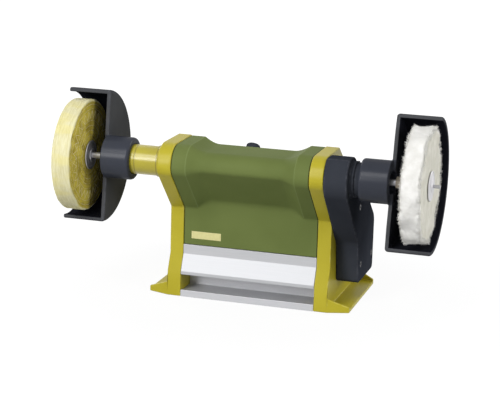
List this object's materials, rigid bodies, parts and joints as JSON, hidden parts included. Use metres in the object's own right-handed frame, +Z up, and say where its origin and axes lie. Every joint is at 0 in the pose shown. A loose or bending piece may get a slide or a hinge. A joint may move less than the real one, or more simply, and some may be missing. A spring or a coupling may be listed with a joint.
{
  "type": "bench polishing machine",
  "caption": "Small bench polishing machine: belt-driven spindle with a buffing wheel and an open-fronted hood at each end, moulded housing on an aluminium base.",
  "frame": {"origin": "middle of the base's footprint, at the level of the bench", "axes": "+X along the spindle towards the belt guard, -Y towards the operator, +Z up"},
  "size_m": [0.3442, 0.1738, 0.1854],
  "materials": {
    "aluminium": "extruded and clear anodised, satin",
    "end_plate": "yellow-green paint, satin",
    "housing": "green moulded plastic, satin",
    "badge": "plain plate, satin",
    "black_plastic": "black moulded plastic, satin",
    "dark_screw": "black oxide",
    "steel": "ground",
    "plated_steel": "zinc plated, semi-bright",
    "belt_rubber": "ribbed, matt",
    "treated_cotton": "stitched cotton, stiffened",
    "white_cotton": "loose cotton, fluffy",
    "cast_alloy": "cast, matt",
    "magnet": "sintered, matt",
    "copper": "enamelled winding",
    "board": "lacquered laminate",
    "rocker": "moulded, satin"
  },
  "bodies": {
    "machine_body": {"base_profile": "aluminium", "left_end_plate": "end_plate", "right_end_plate": "end_plate", "housing_shell": "housing", "rear_cover": "housing", "blank_badge": "badge", "belt_guard": "black_plastic", "guard_screws": "dark_screw", "plate_screws": "dark_screw", "tie_rods": "steel", "tie_rod_screws": "dark_screw", "left_spindle_bearing": "steel", "right_spindle_bearing": "steel", "left_bearing_keeper": "steel", "right_bearing_keeper": "steel", "drive_belt": "belt_rubber", "motor_can": "plated_steel", "motor_front_cap": "cast_alloy", "motor_rear_cap": "cast_alloy", "motor_front_bearing": "steel", "motor_rear_bearing": "steel", "motor_screws": "dark_screw", "field_magnets": "magnet", "brush_holders": "copper", "control_board": "board", "board_parts": "black_plastic", "board_screws": "steel", "speed_pot": "cast_alloy", "pot_nut": "plated_steel", "switch_body": "black_plastic", "cable_gland": "black_plastic"},
    "spindle_set": {"spindle": "steel", "spindle_pulley": "aluminium", "left_buff_wheel": "treated_cotton", "right_buff_wheel": "white_cotton", "left_inner_flange": "plated_steel", "left_outer_flange": "plated_steel", "right_inner_flange": "plated_steel", "right_outer_flange": "plated_steel", "left_outer_nut": "plated_steel", "right_inner_nut": "plated_steel"},
    "rotor": {"motor_shaft": "steel", "armature": "copper", "commutator": "copper", "cooling_fan": "black_plastic", "motor_pulley": "aluminium"},
    "left_hood_set": {"left_hood": "black_plastic", "left_hood_clamp": "dark_screw"},
    "right_hood_set": {"right_hood": "black_plastic", "right_hood_clamp": "dark_screw"},
    "knob": {"speed_knob": "black_plastic", "pot_shaft": "steel"},
    "rocker": {"switch_rocker": "rocker"}
  },
  "joints": [
    {"name": "spindle_spin", "type": "hinge", "parent": "machine_body", "child": "spindle_set", "pos_m": [0, -0.067, 0.1265], "axis": [1, 0, 0], "continuous": true},
    {"name": "motor_spin", "type": "hinge", "parent": "machine_body", "child": "rotor", "pos_m": [0, 0.004, 0.06], "axis": [1, 0, 0], "continuous": true},
    {"name": "left_hood_turn", "type": "hinge", "parent": "machine_body", "child": "left_hood_set", "pos_m": [0, -0.067, 0.1265], "axis": [1, 0, 0], "range_deg": [-45, 45]},
    {"name": "right_hood_turn", "type": "hinge", "parent": "machine_body", "child": "right_hood_set", "pos_m": [0, -0.067, 0.1265], "axis": [1, 0, 0], "range_deg": [-45, 45]},
    {"name": "speed_knob_turn", "type": "hinge", "parent": "machine_body", "child": "knob", "pos_m": [-0.0105, -0.01596, 0.12716], "axis": [0, -0.5878, -0.809], "range_deg": [0, 270]},
    {"name": "power_rocker", "type": "hinge", "parent": "machine_body", "child": "rocker", "pos_m": [0.011, -0.01978, 0.1287], "axis": [1, 0, 0], "range_deg": [0, 18]}
  ],
  "couplings": [
    {"joint": "motor_spin", "follows": "spindle_spin", "ratio": 1.375}
  ]
}
